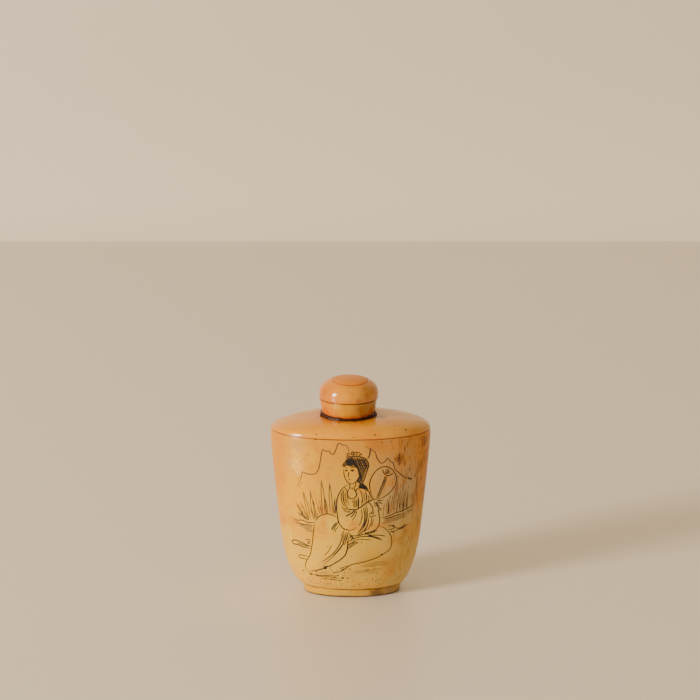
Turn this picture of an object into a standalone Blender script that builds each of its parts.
"""Snuff bottle of aged, stained bone: an oval tapering body closed by a domed shoulder plate and a foot plate,
a round neck collar, and a bun-shaped stopper with a disc let into its top.

Metres, +Z up. The origin is the middle of the underside, +X is the bottle's width and the engraved face looks along -Y.
The five glued or loose pieces and the disc are separate solids, a hair's breadth apart.
"""

import math

import bmesh
import bpy

# Seams: the glue line between two pieces, and the play of the stopper's peg in the bore
SEAM = 0.0003
PEG_PLAY = 0.0003

# Plan of the oval pieces: a superellipse, a little squarer than an ellipse. A round piece has the plain circle.
OVAL_ROUNDNESS = 2.12
CIRCLE_ROUNDNESS = 2.0

# Body: an oval tube of bone, open at both ends
BODY_WIDTH = 0.0500
BODY_DEPTH = 0.0312
BODY_HEIGHT = 0.0504
BODY_WALL = 0.0040

# Foot plate, with a low tenon that stands in the body's lower end
FOOT_WIDTH = 0.0310
FOOT_DEPTH = 0.0178
FOOT_HEIGHT = 0.0026
FOOT_TAPER = 0.0003
FOOT_EDGE_RADIUS = 0.0004
FOOT_LEDGE = 0.0008
FOOT_SHIFT = 0.0004
TENON_HEIGHT = 0.0015

# Shoulder plate, from the oval seam up to the round seat of the neck
SHOULDER_RISE = 0.0038
SHOULDER_ROUNDING = 0.62
SEAT_MARGIN = 0.0004
CROWN_THICKNESS = 0.0036
TENON_RING = 0.0030
RECESS_LAND = 0.0020

# Neck collar and the bore that runs through it and the shoulder plate
NECK_SHIFT = -0.0007
NECK_HEIGHT = 0.0052
NECK_FOOT_RADIUS = 0.0083
NECK_TOP_RADIUS = 0.0088
NECK_EDGE_RADIUS = 0.0004
BORE_RADIUS = 0.0035

# Stopper: a bun with a peg below and a disc let into its flat top, a little to one side
STOPPER_RADIUS = 0.00908
STOPPER_HEIGHT = 0.0051
STOPPER_LIP_RADIUS = 0.0089
STOPPER_BELLY_HEIGHT = 0.0012
STOPPER_ROUNDNESS = 2.2
PEG_LENGTH = 0.0045
PEG_CHAMFER = 0.0005
DISC_RADIUS = 0.0052
DISC_SHIFT = 0.0006
DISC_THICKNESS = 0.0014
DISC_CROWN = 0.0003
DISC_LAND = 0.0003

# Fineness of the faceted solids
OVAL_SIDES = 64
ROUND_SIDES = 48
SHARP_ANGLE = math.radians(40)
WELD = 0.00001

# Outline of the body: height as a share of its height, and spread as a share of the way from the foot's width to
# the full width
BODY_OUTLINE = (
    (0.00, 0.000),
    (0.05, 0.213),
    (0.16, 0.461),
    (0.30, 0.628),
    (0.53, 0.776),
    (0.75, 0.900),
    (0.96, 0.996),
    (1.00, 0.982),
)

BODY_BASE_Z = FOOT_HEIGHT + SEAM
BODY_TOP_Z = BODY_BASE_Z + BODY_HEIGHT
SHOULDER_BASE_Z = BODY_TOP_Z + SEAM
SEAT_Z = SHOULDER_BASE_Z + SHOULDER_RISE
NECK_BASE_Z = SEAT_Z + SEAM
NECK_TOP_Z = NECK_BASE_Z + NECK_HEIGHT
STOPPER_BASE_Z = NECK_TOP_Z + SEAM


def mix(a, b, share):
    return a + (b - a) * share


def steps(count):
    """Even shares from 0 to 1."""
    return [i / count for i in range(count + 1)]


def smooth_through(points, x):
    """The height at x of a smooth curve through the points, which run in rising x."""
    last = len(points) - 2
    i = min(last, sum(1 for p in points[1:-1] if p[0] <= x))
    (x0, y0), (x1, y1) = points[i], points[i + 1]
    before = points[max(i - 1, 0)]
    after = points[min(i + 2, len(points) - 1)]
    slope0 = (y1 - before[1]) / (x1 - before[0])
    slope1 = (after[1] - y0) / (after[0] - x0)
    span = x1 - x0
    t = (x - x0) / span
    rise = (2 * t**3 - 3 * t**2 + 1) * y0 + (3 * t**2 - 2 * t**3) * y1
    return rise + span * ((t**3 - 2 * t**2 + t) * slope0 + (t**3 - t**2) * slope1)


def bone(name, colour, roughness):
    material = bpy.data.materials.new(name)
    material.use_nodes = True
    shader = material.node_tree.nodes["Principled BSDF"]
    shader.inputs["Base Color"].default_value = (*colour, 1.0)
    shader.inputs["Roughness"].default_value = roughness
    shader.inputs["Metallic"].default_value = 0.0
    return material


def finish(name, mesh, material, collection):
    mesh.materials.append(material)
    mesh.shade_smooth()
    mesh.set_sharp_from_angle(angle=SHARP_ANGLE)
    piece = bpy.data.objects.new(name, mesh)
    collection.objects.link(piece)
    return piece


def oval(half_width, half_depth, z, shift=0.0, roundness=OVAL_ROUNDNESS):
    """The points of one ring: a superellipse at height z whose middle stands shift from the axis."""
    points = []
    for i in range(OVAL_SIDES):
        angle = 2 * math.pi * i / OVAL_SIDES
        across = math.copysign(abs(math.cos(angle)) ** (2 / roundness), math.cos(angle))
        along = math.copysign(abs(math.sin(angle)) ** (2 / roundness), math.sin(angle))
        points.append((shift + half_width * across, half_depth * along, z))
    return points


def circle(radius, z, shift):
    return oval(radius, radius, z, shift, CIRCLE_ROUNDNESS)


def loft(name, rings, material, collection, ring_shaped=False):
    """A solid through a list of rings. It is closed by flat ends, or by joining the last ring to the first."""
    shape = bmesh.new()
    loops = [[shape.verts.new(point) for point in ring] for ring in rings]
    pairs = list(zip(loops, loops[1:]))
    if ring_shaped:
        pairs.append((loops[-1], loops[0]))
    else:
        shape.faces.new(list(reversed(loops[0])))
        shape.faces.new(loops[-1])
    for low, high in pairs:
        for i in range(OVAL_SIDES):
            j = (i + 1) % OVAL_SIDES
            shape.faces.new((low[i], low[j], high[j], high[i]))
    mesh = bpy.data.meshes.new(name)
    shape.to_mesh(mesh)
    shape.free()
    return finish(name, mesh, material, collection)


def turned(name, profile, material, collection, location, loop=False):
    """A round piece: a profile of (radius, height) points, given down its outer side, turned about the axis."""
    mesh = bpy.data.meshes.new(name)
    count = len(profile)
    edges = [(i, i + 1) for i in range(count - 1)]
    if loop:
        edges.append((count - 1, 0))
    mesh.from_pydata([(r, 0.0, z) for r, z in profile], edges, [])
    piece = finish(name, mesh, material, collection)
    piece.location = location
    screw = piece.modifiers.new("turn", "SCREW")
    screw.steps = ROUND_SIDES
    screw.render_steps = ROUND_SIDES
    screw.use_merge_vertices = True
    screw.merge_threshold = WELD
    screw.use_smooth_shade = True
    return piece


def body_half_sizes(share):
    """Half width and half depth of the body's outside at a share of its height."""
    spread = smooth_through(BODY_OUTLINE, share)
    half_width = mix(FOOT_WIDTH / 2 + FOOT_LEDGE, BODY_WIDTH / 2, spread)
    half_depth = mix(FOOT_DEPTH / 2 + FOOT_LEDGE, BODY_DEPTH / 2, spread)
    return half_width, half_depth


def body_shift(share):
    """The lower end follows the foot, which stands a little to one side. The rest is centred."""
    return FOOT_SHIFT * (1 - smooth_through(BODY_OUTLINE, share)) ** 6


def mouth_half_sizes(share):
    """Half sizes of the hollow inside the body at a share of its height."""
    half_width, half_depth = body_half_sizes(share)
    return half_width - BODY_WALL, half_depth - BODY_WALL


def make_body(material, collection):
    outer_heights = [0.0, 0.02, 0.045, 0.08, 0.12, 0.17, 0.23, 0.30, 0.40, 0.53, 0.66, 0.78, 0.88, 0.96, 0.98, 1.0]
    inner_heights = [1.0, 0.94, 0.75, 0.53, 0.30, 0.16, 0.08, 0.0]
    rings = [
        oval(*body_half_sizes(t), BODY_BASE_Z + t * BODY_HEIGHT, body_shift(t)) for t in outer_heights
    ]
    rings += [
        oval(*mouth_half_sizes(t), BODY_BASE_Z + t * BODY_HEIGHT, body_shift(t)) for t in inner_heights
    ]
    return loft("body", rings, material, collection, ring_shaped=True)


def make_foot(material, collection):
    half_width, half_depth = FOOT_WIDTH / 2, FOOT_DEPTH / 2
    rings = []
    for share in steps(4):
        angle = share * math.pi / 2
        inset = FOOT_TAPER + FOOT_EDGE_RADIUS * (1 - math.sin(angle))
        z = FOOT_EDGE_RADIUS * (1 - math.cos(angle))
        rings.append(oval(half_width - inset, half_depth - inset, z, FOOT_SHIFT))
    rings.append(oval(half_width, half_depth, FOOT_HEIGHT, FOOT_SHIFT))
    tenon_width, tenon_depth = (size - SEAM for size in mouth_half_sizes(0.0))
    rings.append(oval(tenon_width, tenon_depth, FOOT_HEIGHT, FOOT_SHIFT))
    rings.append(oval(tenon_width, tenon_depth, BODY_BASE_Z + TENON_HEIGHT, FOOT_SHIFT))
    return loft("foot_plate", rings, material, collection)


def make_shoulder(material, collection):
    edge_width, edge_depth = body_half_sizes(1.0)
    seat_radius = NECK_FOOT_RADIUS + SEAT_MARGIN
    rings = []
    for share in [(i / 10) ** 1.8 for i in range(11)]:
        rings.append(
            oval(
                mix(edge_width, seat_radius, share),
                mix(edge_depth, seat_radius, share),
                SHOULDER_BASE_Z + SHOULDER_RISE * share**SHOULDER_ROUNDING,
                NECK_SHIFT * share,
                mix(OVAL_ROUNDNESS, CIRCLE_ROUNDNESS, share),
            )
        )
    tenon_width, tenon_depth = (size - SEAM for size in mouth_half_sizes(1.0))
    tenon_z = BODY_TOP_Z - TENON_HEIGHT
    ceiling_z = SEAT_Z - CROWN_THICKNESS
    land = BORE_RADIUS + RECESS_LAND
    rings.append(circle(BORE_RADIUS, SEAT_Z, NECK_SHIFT))
    rings.append(circle(BORE_RADIUS, ceiling_z, NECK_SHIFT))
    rings.append(circle(land, ceiling_z, NECK_SHIFT))
    rings.append(oval(tenon_width - TENON_RING, tenon_depth - TENON_RING, tenon_z))
    rings.append(oval(tenon_width, tenon_depth, tenon_z))
    rings.append(oval(tenon_width, tenon_depth, SHOULDER_BASE_Z))
    return loft("shoulder_plate", rings, material, collection, ring_shaped=True)


def make_neck(material, collection):
    edge = NECK_EDGE_RADIUS
    profile = [
        (BORE_RADIUS, NECK_HEIGHT),
        (NECK_TOP_RADIUS - edge, NECK_HEIGHT),
        (NECK_TOP_RADIUS, NECK_HEIGHT - edge),
        (mix(NECK_FOOT_RADIUS, NECK_TOP_RADIUS, 0.35), NECK_HEIGHT * 0.5),
        (NECK_FOOT_RADIUS, edge),
        (NECK_FOOT_RADIUS - edge, 0.0),
        (BORE_RADIUS, 0.0),
    ]
    return turned("neck_collar", profile, material, collection, (NECK_SHIFT, 0.0, NECK_BASE_Z), loop=True)


def bun_outline(top_radius):
    """The bun above its widest line, from its flat top down: a superellipse cut off where it is top_radius wide."""
    cut = (1 - (top_radius / STOPPER_RADIUS) ** STOPPER_ROUNDNESS) ** (1 / STOPPER_ROUNDNESS)
    points = []
    for share in steps(9):
        level = math.cos(share * math.pi / 2) ** 2 if share < 1 else 0.0
        radius = STOPPER_RADIUS * (1 - (cut * level) ** STOPPER_ROUNDNESS) ** (1 / STOPPER_ROUNDNESS)
        points.append((radius, mix(STOPPER_BELLY_HEIGHT, STOPPER_HEIGHT, level)))
    return points


def make_stopper(material, collection, cutters):
    recess_radius = DISC_RADIUS + SEAM
    peg_radius = BORE_RADIUS - PEG_PLAY
    profile = [(0.0, STOPPER_HEIGHT)]
    profile += bun_outline(recess_radius + DISC_SHIFT + DISC_LAND)
    profile += [
        (mix(STOPPER_LIP_RADIUS, STOPPER_RADIUS, 0.75), STOPPER_BELLY_HEIGHT / 2),
        (STOPPER_LIP_RADIUS, 0.0),
        (peg_radius, 0.0),
        (peg_radius, PEG_CHAMFER - PEG_LENGTH),
        (peg_radius - PEG_CHAMFER, -PEG_LENGTH),
        (0.0, -PEG_LENGTH),
    ]
    stopper = turned("stopper", profile, material, collection, (NECK_SHIFT, 0.0, STOPPER_BASE_Z))

    depth = DISC_THICKNESS + SEAM
    middle = (NECK_SHIFT + DISC_SHIFT, 0.0, STOPPER_BASE_Z + STOPPER_HEIGHT)
    bpy.ops.mesh.primitive_cylinder_add(
        vertices=ROUND_SIDES, radius=recess_radius, depth=2 * depth, location=middle
    )
    cutter = bpy.context.object
    cutter.name = "disc_recess"
    cutter.hide_render = True
    cutter.display_type = "WIRE"
    for owner in list(cutter.users_collection):
        owner.objects.unlink(cutter)
    cutters.objects.link(cutter)
    cut = stopper.modifiers.new("disc_recess", "BOOLEAN")
    cut.operation = "DIFFERENCE"
    cut.object = cutter
    return stopper


def make_disc(material, collection):
    profile = []
    for share in steps(6):
        profile.append((DISC_RADIUS * share, DISC_THICKNESS + DISC_CROWN * (1 - share**2)))
    profile += [(DISC_RADIUS, 0.0), (0.0, 0.0)]
    place = (NECK_SHIFT + DISC_SHIFT, 0.0, STOPPER_BASE_Z + STOPPER_HEIGHT - DISC_THICKNESS)
    return turned("stopper_disc", profile, material, collection, place)


def main():
    for item in list(bpy.data.objects):
        bpy.data.objects.remove(item)
    collection = bpy.data.collections.new("snuff_bottle")
    bpy.context.scene.collection.children.link(collection)
    cutters = bpy.data.collections.new("cutters")
    bpy.context.scene.collection.children.link(cutters)
    honey = bone("bone_honey", (0.78, 0.46, 0.16), 0.28)
    amber = bone("bone_amber", (0.76, 0.38, 0.10), 0.22)
    pale = bone("bone_pale", (0.76, 0.50, 0.19), 0.35)
    pieces = [
        make_body(honey, collection),
        make_foot(pale, collection),
        make_shoulder(honey, collection),
        make_neck(amber, collection),
        make_stopper(amber, collection, cutters),
        make_disc(amber, collection),
    ]
    stand = bpy.data.objects.new("bottle_axis", None)
    collection.objects.link(stand)
    for piece in pieces:
        piece.parent = stand


main()
